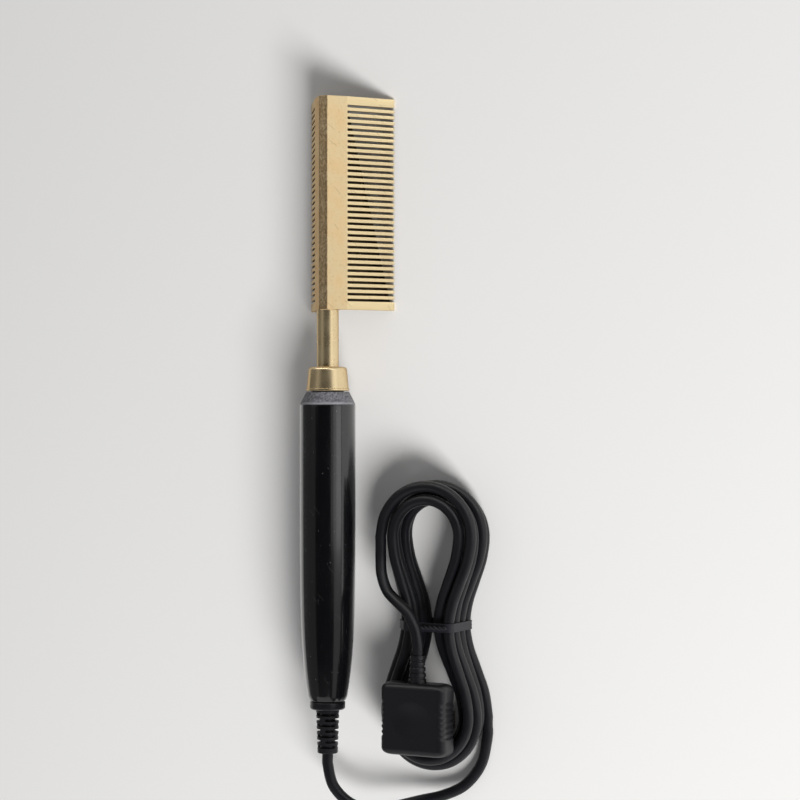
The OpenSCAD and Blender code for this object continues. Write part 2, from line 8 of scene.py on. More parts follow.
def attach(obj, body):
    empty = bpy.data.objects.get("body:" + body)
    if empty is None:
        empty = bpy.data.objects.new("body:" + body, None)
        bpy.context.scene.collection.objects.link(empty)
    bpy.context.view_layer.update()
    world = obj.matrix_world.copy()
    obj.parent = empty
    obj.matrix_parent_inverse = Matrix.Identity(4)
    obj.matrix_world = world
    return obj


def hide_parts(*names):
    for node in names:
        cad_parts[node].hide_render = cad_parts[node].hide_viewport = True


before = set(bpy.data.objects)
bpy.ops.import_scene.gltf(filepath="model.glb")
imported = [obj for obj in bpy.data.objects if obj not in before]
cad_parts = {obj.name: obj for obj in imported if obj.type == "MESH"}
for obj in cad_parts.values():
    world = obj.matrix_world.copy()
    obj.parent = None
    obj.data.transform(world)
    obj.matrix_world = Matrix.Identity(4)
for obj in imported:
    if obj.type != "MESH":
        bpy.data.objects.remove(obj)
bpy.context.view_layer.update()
mm = 0.001

# where things lie along the comb: stations in mm from the front of the head, towards the lead
comb = {"frontY": 149.25, "axisZ": 24.5092, "head": 97.0, "neck": 123.0, "ferrule": 134.0,
        "collar": 134.3, "shell": 140.0, "end": 274.5, "boot": 278.5, "exit": 298.5}


def linear(hexColour):
    # sRGB hex to linear: (c / 12.92) below 0.04045, ((c + 0.055) / 1.055) ^ 2.4 above
    channels = [int(hexColour[i:i + 2], 16) / 255 for i in (1, 3, 5)]
    return tuple(c / 12.92 if c <= 0.04045 else ((c + 0.055) / 1.055) ** 2.4
                 for c in channels) + (1.0,)


def addNode(tree, kind, sockets=None, **settings):
    # one node with its settings; a socket takes a value or another node's output
    node = tree.nodes.new("ShaderNode" + kind)
    for key, value in settings.items():
        setattr(node, key, value)
    for key, value in (sockets or {}).items():
        if isinstance(value, bpy.types.NodeSocket):
            tree.links.new(value, node.inputs[key])
        else:
            node.inputs[key].default_value = value
    return node


def startMaterial(name, baseColour, roughness, **shader):
    # a material with constants on its shader, and the object coordinates that its textures use
    material = bpy.data.materials.new(name)
    material.use_nodes = True
    tree = material.node_tree
    surface = tree.nodes["Principled BSDF"]
    surface.inputs["Base Color"].default_value = linear(baseColour)
    surface.inputs["Roughness"].default_value = roughness
    for key, value in shader.items():
        surface.inputs[key.replace("_", " ")].default_value = value
    place = addNode(tree, "TexCoord").outputs["Object"]
    return material, tree, surface, place


def noise(tree, place, size, detail=2.0, roughness=0.5, stretch=(1, 1, 1)):
    # noise whose features are about size mm across, longer along an axis with a small stretch
    mapped = addNode(tree, "Mapping", {"Vector": place, "Scale": stretch}).outputs[0]
    return addNode(tree, "TexNoise", {"Vector": mapped, "Scale": 1 / (size * mm),
                                      "Detail": detail, "Roughness": roughness}).outputs["Fac"]


def spread(tree, value, low, high, toLow=0.0, toHigh=1.0):
    # low..high of the input becomes toLow..toHigh, clamped
    return addNode(tree, "MapRange", {"Value": value, "From Min": low, "From Max": high,
                                      "To Min": toLow, "To Max": toHigh}).outputs[0]


def combine(tree, operation, a, b):
    # one step of arithmetic
    return addNode(tree, "Math", {0: a, 1: b}, operation=operation).outputs[0]


def blendColours(tree, share, a, b):
    # share 0 gives a, 1 gives b
    return addNode(tree, "Mix", {"Factor": share, 6: a, 7: b}, data_type="RGBA").outputs[2]


def scratches(tree, along, across, length, gap, share, width):
    # straight hairlines: one cell in a few of a length x gap grid holds a line across its middle
    cell = addNode(tree, "CombineXYZ", {0: combine(tree, "MULTIPLY", along, 1 / (length * mm)),
                                        1: combine(tree, "MULTIPLY", across, 1 / (gap * mm))})
    cells = addNode(tree, "TexVoronoi", {"Vector": cell.outputs[0], "Scale": 1.0},
                    voronoi_dimensions="2D").outputs
    away = addNode(tree, "VectorMath", {0: cell.outputs[0], 1: cells["Position"]},
                   operation="SUBTRACT").outputs[0]
    x, y = addNode(tree, "SeparateXYZ", {0: away}).outputs[:2]
    red, green = addNode(tree, "SeparateColor", {0: cells["Color"]}).outputs[:2]
    lean = combine(tree, "MULTIPLY", combine(tree, "SUBTRACT", green, 0.5), x)
    off = combine(tree, "ABSOLUTE", combine(tree, "ADD", y, lean), 0.0)
    line = spread(tree, off, width / gap, 0.0)
    ends = spread(tree, combine(tree, "ABSOLUTE", x, 0.0), 0.45, 0.25)
    chosen = combine(tree, "GREATER_THAN", red, 1 - share)
    return combine(tree, "MULTIPLY", combine(tree, "MULTIPLY", line, ends), chosen)


def bump(tree, surface, height, depth, strength=1.0):
    # depth in mm of a full step in height
    node = addNode(tree, "Bump", {"Height": height, "Distance": depth * mm, "Strength": strength})
    tree.links.new(node.outputs[0], surface.inputs["Normal"])


view = {"lookAt": (29.46, 11.2, 9.87), "distance": 1000.0, "elevation": 62.35, "lens": 99.0,
        "sensor": 36, "clipStart": 0.01}


def placeCamera():
    # the camera looks down on the +X side, with +Y straight up in its picture
    tilt = math.radians(view["elevation"])
    back = np.array([math.cos(tilt), 0, math.sin(tilt)])
    right = np.array([math.sin(tilt), 0, -math.cos(tilt)])
    camera = bpy.data.objects.new("camera", bpy.data.cameras.new("camera"))
    camera.data.lens = view["lens"]
    camera.data.sensor_width = view["sensor"]
    camera.data.clip_start = view["clipStart"]
    bpy.context.scene.collection.objects.link(camera)
    at = (np.array(view["lookAt"]) + back * view["distance"]) * mm
    matrix = np.eye(4)
    matrix[:3, 0], matrix[:3, 1], matrix[:3, 2], matrix[:3, 3] = right, (0, 1, 0), back, at
    camera.matrix_world = Matrix(matrix.tolist())
    bpy.context.scene.camera = camera


placeCamera()
print("camera placed")


def meshPiece(name, points, faces, material, body, smoothBelow=40):
    # a closed mesh from points in mm; its faces are turned outwards
    mesh = bpy.data.meshes.new(name)
    mesh.from_pydata(np.asarray(points, float).reshape(-1, 3) * mm, [], faces)
    mesh.validate()
    work = bmesh.new()
    work.from_mesh(mesh)
    bmesh.ops.remove_doubles(work, verts=work.verts, dist=1e-7)
    bmesh.ops.recalc_face_normals(work, faces=work.faces)
    work.to_mesh(mesh)
    work.free()
    piece = bpy.data.objects.new(name, mesh)
    bpy.context.scene.collection.objects.link(piece)
    mesh.materials.append(material)
    mesh.shade_smooth()
    mesh.set_sharp_from_angle(angle=math.radians(smoothBelow))
    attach(piece, body)
    return piece


def gridFaces(rings, sides, wrapRings, capEnds=False):
    # quads between neighbours of a rings x sides grid, whose sides close on themselves; the rings
    # may wrap too, or have one face at each end
    i = np.arange(rings if wrapRings else rings - 1)[:, None]
    k = np.arange(sides)[None, :]
    a, b = i * sides, ((i + 1) % rings) * sides
    nextK = (k + 1) % sides
    quads = np.stack([a + k, a + nextK, b + nextK, b + k], axis=-1).reshape(-1, 4).tolist()
    if capEnds:
        quads.append(list(range(sides)))
        quads.append(list(range((rings - 1) * sides, rings * sides)))
    return quads


def roundCorners(corners, radii, steps=6):
    # each corner of a closed outline becomes an arc of its radius that touches both its sides
    corners = np.asarray(corners, float)
    out = []
    for i, (corner, radius) in enumerate(zip(corners, radii)):
        if radius == 0:
            out.append(corner[None])
            continue
        toLast = corners[i - 1] - corner
        toNext = corners[(i + 1) % len(corners)] - corner
        toLast, toNext = toLast / np.linalg.norm(toLast), toNext / np.linalg.norm(toNext)
        half = math.acos(np.clip(toLast @ toNext, -1, 1)) / 2
        middle = (toLast + toNext) / np.linalg.norm(toLast + toNext)
        centre = corner + middle * radius / math.sin(half)
        start = corner + toLast * radius / math.tan(half) - centre
        stop = corner + toNext * radius / math.tan(half) - centre
        share = np.linspace(0, 1, steps + 1)[:, None]
        arc = start * (1 - share) + stop * share
        out.append(centre + radius * arc / np.linalg.norm(arc, axis=1, keepdims=True))
    return np.concatenate(out)


def aroundAxis(station, radius, angle):
    # a point at an angle round the comb's axis: X = r sin(angle), Z = axis + r cos(angle)
    x = radius * np.sin(angle)
    z = comb["axisZ"] + radius * np.cos(angle)
    y = comb["frontY"] - station + 0 * x
    return np.stack([x, y, z], axis=-1)


def turned(name, outline, material, sides):
    # a closed outline of (station, radius) turned about the comb's axis, as part of the comb
    angle = np.linspace(0, 2 * math.pi, sides, endpoint=False)[None, :]
    grid = aroundAxis(outline[:, 0][:, None], outline[:, 1][:, None], angle)
    return meshPiece(name, grid, gridFaces(len(outline), sides, True), material, "comb", 30)


def smoothPath(points, spacing):
    # Catmull-Rom curve through the points, resampled to even steps
    points = np.asarray(points, float)
    padded = np.concatenate([2 * points[:1] - points[1:2], points,
                             2 * points[-1:] - points[-2:-1]])
    t = np.linspace(0, 1, 12, endpoint=False)[None, :, None]
    p0, p1, p2, p3 = (padded[i:len(padded) - 3 + i][:, None] for i in range(4))
    curve = 0.5 * (2 * p1 + (p2 - p0) * t + (2 * p0 - 5 * p1 + 4 * p2 - p3) * t ** 2
                   + (3 * p1 - p0 - 3 * p2 + p3) * t ** 3)
    curve = np.concatenate([curve.reshape(-1, 3), points[-1:]])
    travelled = np.concatenate([[0], np.cumsum(np.linalg.norm(np.diff(curve, axis=0), axis=1))])
    wanted = np.linspace(0, travelled[-1], int(travelled[-1] / spacing) + 1)
    return np.stack([np.interp(wanted, travelled, curve[:, i]) for i in range(3)], axis=-1)


def tubeGrid(path, radius, sides):
    # rings of the radius round a path that never stands upright
    forward = np.gradient(path, axis=0)
    forward /= np.linalg.norm(forward, axis=1, keepdims=True)
    side = np.cross(forward, [0, 0, 1.0])
    side /= np.linalg.norm(side, axis=1, keepdims=True)
    up = np.cross(side, forward)
    angle = np.linspace(0, 2 * math.pi, sides, endpoint=False)
    ring = (np.cos(angle)[None, :, None] * side[:, None]
            + np.sin(angle)[None, :, None] * up[:, None])
    return path[:, None] + radius * ring


lead = {"diameter": 5.0, "exit": (0, -149.25, 24.5092), "bundleX": 48, "bundleY": -130, "run": 80,
        "foldRadius": 15, "turnStep": 6.1, "layerStep": 5.6, "firstTurn": 0.375, "halfLayer": 1.5,
        "turns": 5.5, "perTurn": 96, "waistDraw": 10, "tieLift": 0.8, "spacing": 1.5, "sides": 20,
        "fromComb": [(2.5, -164, 23.8), (9.5, -171.5, 21.4), (19, -174.5, 18.5),
                     (30, -172.5, 15.2), (41, -169.5, 11.4), (50.5, -167, 8), (60, -162, 5),
                     (67, -152.5, 3)],
        "toPlug": [(26, -67.5, 21), (30, -74.5, 23.2), (36.3, -79, 25.6), (42.5, -83.5, 27.5),
                   (46.5, -90, 28.5)]}

# the plug, where the lead ends: its body, ribs in the sides, thumb hollow on top, and sleeve
plug = {"y": -146, "z": 22.1, "length": 32, "width": 32, "thick": 13, "round": 3.0, "corner": 3.4,
        "rings": 161, "sides": 180,
        "ribFrom": 12.5, "ribBlend": 3, "ribPitch": 2.4, "ribReach": 8.4, "ribDepth": 0.55,
        "hollowAcross": 10, "hollowAlong": 8.5, "hollowDepth": 0.9,
        "sleeve": 12, "sleeveIn": 2.0, "sleeveRadius": 3.15, "sleeveFlare": 1.05,
        "sleeveRings": 121, "sleeveSides": 64, "sleeveGap": 0.02,
        "grooves": 5.5, "groovePhase": 0.8, "grooveDepth": 0.45, "grooveFrom": 0.06,
        "grooveTo": 0.84}


def bundleLine():
    # run, fold, run, fold, a quarter turn each: a spiral whose radius is the fold's plus the turn
    # step times a triangle wave, with each run drawn in at the waist and each layer one step up
    t = np.arange(0, lead["turns"] * lead["perTurn"] + 1) / lead["perTurn"]
    wave = np.abs((t + lead["firstTurn"]) % (2 * lead["halfLayer"]) - lead["halfLayer"])
    radius = lead["foldRadius"] + lead["turnStep"] * wave
    u, v = t % 1, (t * 4) % 1
    waist = (1 - np.cos(2 * math.pi * v)) / 2
    drawn = radius - lead["waistDraw"] * waist
    climb = sum(s * s * (3 - 2 * s) for s in (np.clip((t - at) * 4, 0, 1) for at in (1, 2.5, 4)))
    z = lead["diameter"] / 2 + lead["layerStep"] * climb
    onRun = (u < 0.25) | ((u >= 0.5) & (u < 0.75))
    z = z + np.where(onRun, lead["tieLift"] * waist, 0)
    quarter = [u < 0.25, u < 0.5, u < 0.75, u <= 1]
    x = np.select(quarter, [drawn, radius * np.cos(math.pi * v), -drawn,
                            -radius * np.cos(math.pi * v)])
    y = np.select(quarter, [lead["run"] * v, lead["run"] + radius * np.sin(math.pi * v),
                            lead["run"] * (1 - v), -radius * np.sin(math.pi * v)])
    return np.stack([lead["bundleX"] + x, lead["bundleY"] + y, z], axis=-1)


def makeLead(material):
    # smooth curves from the outlet through chosen points to the bundle, and on to the plug, with a
    # circle of the lead's diameter swept along all three
    d = lead["diameter"]
    away = np.array([0, d, 0])
    start = np.array(lead["exit"], float)
    turns = bundleLine()
    entry = np.array([lead["bundleX"], plug["y"] + plug["length"] + plug["sleeve"],
                      plug["z"] + plug["thick"] / 2])
    free = smoothPath([start, start - away / 2, start - away, *lead["fromComb"],
                       turns[0] - 2 * away, turns[0] - away, turns[0]], lead["spacing"])
    tail = smoothPath([turns[-1], turns[-1] - away, turns[-1] - 2 * away, *lead["toPlug"],
                       entry + away, entry], lead["spacing"])
    path = smoothPath(np.concatenate([free[:-1], turns[::3], tail[1:]]), lead["spacing"])
    grid = tubeGrid(path, d / 2, lead["sides"])
    cord = meshPiece("mainsLead", grid, gridFaces(len(path), lead["sides"], False, capEnds=True),
                     material, "comb", 60)
    length = float(np.linalg.norm(np.diff(path, axis=0), axis=1).sum())
    print("lead length in mm", round(length, 1))
    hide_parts("cord_lead", "cord_hank", "cord_tail")
    return cord, path, length


def pvcSheath():
    # soft black PVC, extruded: faint matte grain along it and a satin sheen
    material, tree, surface, place = startMaterial("pvcLead", "#101014", 0.4)
    fine = noise(tree, place, 0.35, 3)
    tree.links.new(spread(tree, noise(tree, place, 9), 0.3, 0.7, 0.36, 0.5),
                   surface.inputs["Roughness"])
    bump(tree, surface, fine, 0.02, 0.5)
    return material


pvcLead = pvcSheath()
leadPiece, leadPath, leadLength = makeLead(pvcLead)
print("lead made")


def mouldedPlug():
    # black PVC moulding: fine spark-eroded texture, a little dust
    material, tree, surface, place = startMaterial("mouldedPvc", "#141417", 0.38)
    dust = spread(tree, noise(tree, place, 0.4, 2), 0.70, 0.76)
    colour = blendColours(tree, dust, linear("#141417"), linear("#3a3a3d"))
    tree.links.new(colour, surface.inputs["Base Color"])
    bump(tree, surface, noise(tree, place, 0.25, 3), 0.03, 0.5)
    return material


def makePlug(material):
    # a box with rounded corners, drawn in at both ends along a quarter circle; less ribs in its
    # sides, depth * (1 + cos(2 pi y / pitch)) / 2, and less a thumb hollow on top,
    # depth * (1 - (x / a)^2 - (y / b)^2) ^ 1.5
    along = np.linspace(0, 1, plug["rings"])
    rounding = plug["round"]
    halfLength = plug["length"] / 2
    y = halfLength * np.sin((along - 0.5) * math.pi)
    over = np.clip(np.abs(y) - (halfLength - rounding), 0, rounding)
    inset = rounding - np.sqrt(rounding ** 2 - over ** 2)
    corner = [(1, 1), (-1, 1), (-1, -1), (1, -1)]
    section = np.array(corner, float) * (plug["width"] / 2, plug["thick"] / 2)
    loop = roundCorners(section, [plug["corner"]] * 4, 10)
    dense = np.concatenate([loop, loop[:1]])
    run = np.concatenate([[0], np.cumsum(np.linalg.norm(np.diff(dense, axis=0), axis=1))])
    at = np.linspace(0, run[-1], plug["sides"], endpoint=False)
    loop = np.stack([np.interp(at, run, dense[:, i]) for i in (0, 1)], axis=-1)
    x, z = (side - np.sign(side) * np.minimum(inset[:, None], np.abs(side))
            for side in (loop[None, :, 0], loop[None, :, 1]))
    yy = np.broadcast_to(y[:, None], x.shape)
    onSide = np.clip((np.abs(x) - plug["ribFrom"]) / plug["ribBlend"], 0, 1)
    rib = 0.5 * (1 + np.cos(yy * 2 * math.pi / plug["ribPitch"])) * (np.abs(yy) < plug["ribReach"])
    x = x - np.sign(x) * plug["ribDepth"] * rib * onSide
    hollow = np.clip(1 - (x / plug["hollowAcross"]) ** 2 - (yy / plug["hollowAlong"]) ** 2, 0, 1)
    z = z - plug["hollowDepth"] * hollow ** 1.5 * (z > 0)
    middleZ = plug["z"] + plug["thick"] / 2
    grid = np.stack([lead["bundleX"] + x, plug["y"] + halfLength + yy, middleZ + z], axis=-1)
    body = meshPiece("plugBody", grid, gridFaces(len(y), plug["sides"], False, capEnds=True),
                     material, "comb")

    # the lead's sleeve on the plug: a taper with grooves round it, where a cosine peaks
    step = np.linspace(0, 1, plug["sleeveRings"])
    radius = plug["sleeveRadius"] + plug["sleeveFlare"] * step
    wave = np.cos(step * 2 * math.pi * plug["grooves"] + plug["groovePhase"])
    groove = np.clip(wave * 2 - 0.6, 0, 1)
    radius = radius - (plug["grooveDepth"] * groove * (step < plug["grooveTo"])
                       * (step > plug["grooveFrom"]))
    stretch = plug["sleeve"] + plug["sleeveIn"]
    yEnd = plug["y"] + plug["length"] + plug["sleeve"] - plug["sleeveGap"]
    angle = np.linspace(0, 2 * math.pi, plug["sleeveSides"], endpoint=False)[None, :]
    ring = np.stack([lead["bundleX"] + radius[:, None] * np.cos(angle),
                     yEnd - stretch * step[:, None] + 0 * angle,
                     middleZ + radius[:, None] * np.sin(angle)], axis=-1)
    sleeve = meshPiece("plugSleeve", ring,
                       gridFaces(len(step), plug["sleeveSides"], False, capEnds=True),
                       material, "comb")
    for piece in (body, sleeve):
        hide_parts("plug_body")
    return body, sleeve


plugBody, plugSleeve = makePlug(mouldedPlug())
print("plug made")


tie = {"y": -90, "width": 4.0, "thick": 0.6, "slack": 0.05, "steps": 144, "wireHalf": 0.6,
       "twistStart": 60, "twistLength": 12, "twistRadius": 1.1, "twistSink": 0.1, "twists": 2.5,
       "swing": 0.5, "strand": 0.52, "strandRings": 90, "strandSides": 10}


def tieFilm():
    # polythene ribbon with a wire in it: dull black, a ridge along the middle
    material, tree, surface, place = startMaterial("polytheneTie", "#1d1d22", 0.5)
    bump(tree, surface, noise(tree, place, 0.5, 2), 0.03, 0.4)
    return material


def makeTie(material):
    # taut ribbon round the waist: at each angle it touches the run that reaches furthest that way,
    # centre + radius * normal; its section thickens over the wire in the middle
    runs = bundleLine()[lead["perTurn"] // 8::lead["perTurn"] // 2][:, [0, 2]]
    angle = np.linspace(0, 2 * math.pi, tie["steps"], endpoint=False)
    normal = np.stack([np.cos(angle), np.sin(angle)], axis=-1)
    touched = runs[np.argmax(normal @ runs.T, axis=1)]
    inside = touched + normal * (lead["diameter"] / 2 + tie["slack"])
    half = tie["width"] / 2
    rim, wire = half * 0.94, tie["wireHalf"]
    wide = np.array([-half, -rim, -wire, 0, wire, rim, half])
    lift = np.array([0.75, 1.0, 0.85, 1.0, 0.85, 1.0, 0.75]) * tie["thick"]
    outer = inside[:, None] + normal[:, None] * lift[None, :, None]
    inner = np.repeat(inside[:, None], 2, axis=1)
    across = np.concatenate([outer, inner], axis=1)
    yy = np.concatenate([tie["y"] + wide, [tie["y"] + half, tie["y"] - half]])
    grid = np.stack([across[..., 0], np.broadcast_to(yy, across.shape[:2]), across[..., 1]],
                    axis=-1)
    band = meshPiece("tieBand", grid, gridFaces(len(angle), len(yy), True), material, "comb")
    top = outer[..., 1].max()

    # its two ends, twisted together along the top: two helices half a turn apart
    rings, sides = tie["strandRings"], tie["strandSides"]
    share = np.linspace(0, 1, rings)
    strands = []
    for phase in (0, math.pi):
        helix = share * 2 * math.pi * tie["twists"] + phase
        line = np.stack([tie["twistStart"] - tie["twistLength"] * share,
                         tie["y"] + tie["swing"] * np.sin(helix),
                         top + tie["twistRadius"] - tie["twistSink"]
                         + tie["swing"] * np.cos(helix)], axis=-1)
        strands.append(tubeGrid(line, tie["strand"], sides))
    points = np.concatenate([s.reshape(-1, 3) for s in strands])
    faces = gridFaces(rings, sides, False, capEnds=True)
    second = [[v + rings * sides for v in face] for face in faces]
    twist = meshPiece("tieTwist", points, faces + second, material, "comb")
    for piece in (band, twist):
        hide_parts("hank_tie")
    return band, twist


tieBand, tieTwist = makeTie(tieFilm())
print("tie made")


handle = {"radius": 12.7, "bore": 10.2, "rearRadius": 8.6, "rearBore": 6.9, "taper": 82.0,
          "linearShare": 0.085, "boreStep": 0.55, "boreCone": 12.0, "rearDrop": 0.45,
          "rearEdge": 1.6, "straightRings": 30, "taperRings": 90, "sides": 220,
          "frontRounding": [0.15, 0.35], "rearRounding": [0.5, 0.15, 0, 0]}


def blackHandle():
    # injection-moulded phenolic, polished: near-black and glossy, with specks of dust that the
    # light picks out and a few hairline scuffs
    material, tree, surface, place = startMaterial("polishedBlack", "#0b0b0d", 0.2,
                                                   Coat_Weight=1.0, Coat_Roughness=0.1)
    # one speck in each cell of 2.4 mm, its radius 0.02 to 0.075 of the cell
    points = addNode(tree, "TexVoronoi", {"Vector": place, "Scale": 1 / (2.4 * mm)}).outputs
    size = spread(tree, addNode(tree, "SeparateColor", {0: points["Color"]}).outputs[0],
                  0.0, 1.0, 0.02, 0.075)
    dust = spread(tree, combine(tree, "DIVIDE", points["Distance"], size), 1.0, 0.6)
    xyz = addNode(tree, "SeparateXYZ", {"Vector": place}).outputs
    up = combine(tree, "SUBTRACT", xyz[2], comb["axisZ"] * mm)
    girth = combine(tree, "MULTIPLY", combine(tree, "ARCTAN2", xyz[0], up), handle["radius"] * mm)
    slant = combine(tree, "SUBTRACT", combine(tree, "MULTIPLY", girth, 0.8), xyz[1])
    scuffs = scratches(tree, slant, combine(tree, "ADD", girth, xyz[1]),
                       length=8, gap=4, share=0.07, width=0.1)
    marks = combine(tree, "ADD", combine(tree, "MULTIPLY", dust, 0.55),
                    combine(tree, "MULTIPLY", scuffs, 0.13))
    colour = blendColours(tree, marks, linear("#0b0b0d"), linear("#a8a6a4"))
    tree.links.new(colour, surface.inputs["Base Color"])
    patches = noise(tree, place, 6, 4, 0.6, (1, 0.25, 1))
    tree.links.new(spread(tree, patches, 0.35, 0.7, 0.17, 0.32), surface.inputs["Roughness"])
    bump(tree, surface, noise(tree, place, 14, 1), 0.08, 0.35)
    return material


def makeHandle(material):
    # straight, then a taper: drop = 0.085 t + 0.915 t^4 of the way to the rear radius
    taperStart = comb["end"] - handle["taper"]
    t = np.linspace(0, 1, handle["taperRings"])
    drop = handle["linearShare"] * t + (1 - handle["linearShare"]) * t ** 4
    outside = np.stack([taperStart + handle["taper"] * t,
                        handle["radius"] - (handle["radius"] - handle["rearRadius"]) * drop], -1)
    keep = outside[outside[:, 0] < comb["end"] - handle["rearEdge"]]
    step = taperStart + handle["boreStep"] * handle["taper"]
    front = comb["shell"]
    straight = np.stack([np.linspace(front + 1, taperStart - 1, handle["straightRings"]),
                         np.full(handle["straightRings"], handle["radius"])], -1)
    corners = np.concatenate([[(front, handle["bore"]), (front, handle["radius"])], straight, keep,
                              [(comb["end"], handle["rearRadius"] - handle["rearDrop"]),
                               (comb["end"], handle["rearBore"]),
                               (step + handle["boreCone"], handle["rearBore"]),
                               (step, handle["bore"])]])
    radii = (handle["frontRounding"] + [0] * (len(straight) + len(keep))
             + handle["rearRounding"])
    shell = turned("handleShell", roundCorners(corners, radii), material, handle["sides"])
    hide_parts("handle_shell")


makeHandle(blackHandle())


# front collar: its bevel is rubbed grey
collar = {"front": 124.7, "spigot": 7.5, "bore": 6.5, "frontRadius": 9.75, "rearRadius": 12.55,
          "lip": 0.1, "paleEdge": 0.45, "tail": 10.0, "play": 0.05, "sides": 180,
          "rounding": [0, 0.3, 0, 0.45, 0.04, 0, 0, 0.4, 0]}


def scuffedCollar():
    # bare phenolic on the bevel, sanded and rubbed: mottled mid-grey over black, palest at its rim
    material, tree, surface, place = startMaterial("rubbedCollar", "#3c3c3e", 0.6)
    mottle = noise(tree, place, 1.3, 5, 0.7)
    speck = noise(tree, place, 0.55, 3, 0.6)
    both = combine(tree, "ADD", combine(tree, "MULTIPLY", mottle, 0.6),
                   combine(tree, "MULTIPLY", speck, 0.4))
    share = spread(tree, both, 0.40, 0.60)
    colour = blendColours(tree, share, linear("#333337"), linear("#87868c"))
    # the pale edge lies just in front of the handle
    along = addNode(tree, "SeparateXYZ", {"Vector": place}).outputs[1]
    edge = (comb["frontY"] - comb["shell"] + collar["paleEdge"]) * mm
    rim = combine(tree, "ABSOLUTE", combine(tree, "SUBTRACT", along, edge), 0.0)
    pale = combine(tree, "MULTIPLY", spread(tree, rim, 0.7 * mm, 0.2 * mm), 0.4)
    edged = blendColours(tree, pale, colour, linear("#b4b3b8"))
    tree.links.new(edged, surface.inputs["Base Color"])
    bump(tree, surface, both, 0.12, 0.7)
    return material


def makeCollar(material):
    # turned: a spigot in the ferrule, a straight bevel from the front radius to the rear one, and
    # a tail in the handle's bore
    bevelEnd = comb["shell"] - collar["lip"]
    tailRadius, tailEnd = handle["bore"] - collar["play"], comb["shell"] + collar["tail"]
    outline = [(collar["front"], collar["bore"]), (collar["front"], collar["spigot"]),
               (comb["collar"], collar["spigot"]), (comb["collar"], collar["frontRadius"]),
               (bevelEnd, collar["rearRadius"]), (comb["shell"], collar["rearRadius"]),
               (comb["shell"], tailRadius), (tailEnd, tailRadius), (tailEnd, collar["bore"])]
    ring = turned("frontCollar", roundCorners(outline, collar["rounding"]), material,
                  collar["sides"])
    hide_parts("front_collar")


makeCollar(scuffedCollar())
print("handle made")


def satinBrass(name, baseColour, roughness, grain=0.9, fleck=0.3):
    # lacquered brass: warm satin, with a fine pitted grain and slow changes of tone; not quite
    # fully metallic, because its fine grain scatters some of the light, and darker edge-on, where
    # the grain shades itself
    material, tree, surface, place = startMaterial(name, baseColour, roughness, Metallic=0.92,
                                                   Specular_Tint=linear("#b4a49c"))
    grit = noise(tree, place, grain, 4, 0.6)
    tone = noise(tree, place, 7, 3, 0.5)
    pale = blendColours(tree, spread(tree, tone, 0.3, 0.7), linear(baseColour), linear("#f1dcb0"))
    speck = spread(tree, grit, 0.58, 0.72, 0, fleck)
    colour = blendColours(tree, speck, pale, linear("#8f6c44"))
    tree.links.new(colour, surface.inputs["Base Color"])
    tree.links.new(spread(tree, tone, 0.3, 0.7, roughness - 0.05, roughness + 0.07),
                   surface.inputs["Roughness"])
    return material, tree, surface, place, colour, grit


# the head's cross-section: how far each plate's band and teeth lean out, and its ridge above the
# axis
# and where the painted shade on the inner faces and the painted highlight on the teeth begin
head = {"bandAngle": 40.75, "toothAngle": 33.75, "ridgeHalf": 1.9, "ridgeHeight": 4.6,
        "bend": 10.1, "firstSlot": 3.8, "skin": 0.12, "shadeFrom": 0.45, "shadeTop": 1.2,
        "shadeFull": 2.2, "ridgeLow": 0.5, "ridgeFull": 0.3, "slotBlend": 0.3,
        "toothLightBlend": 0.2, "plateShift": 31.0}


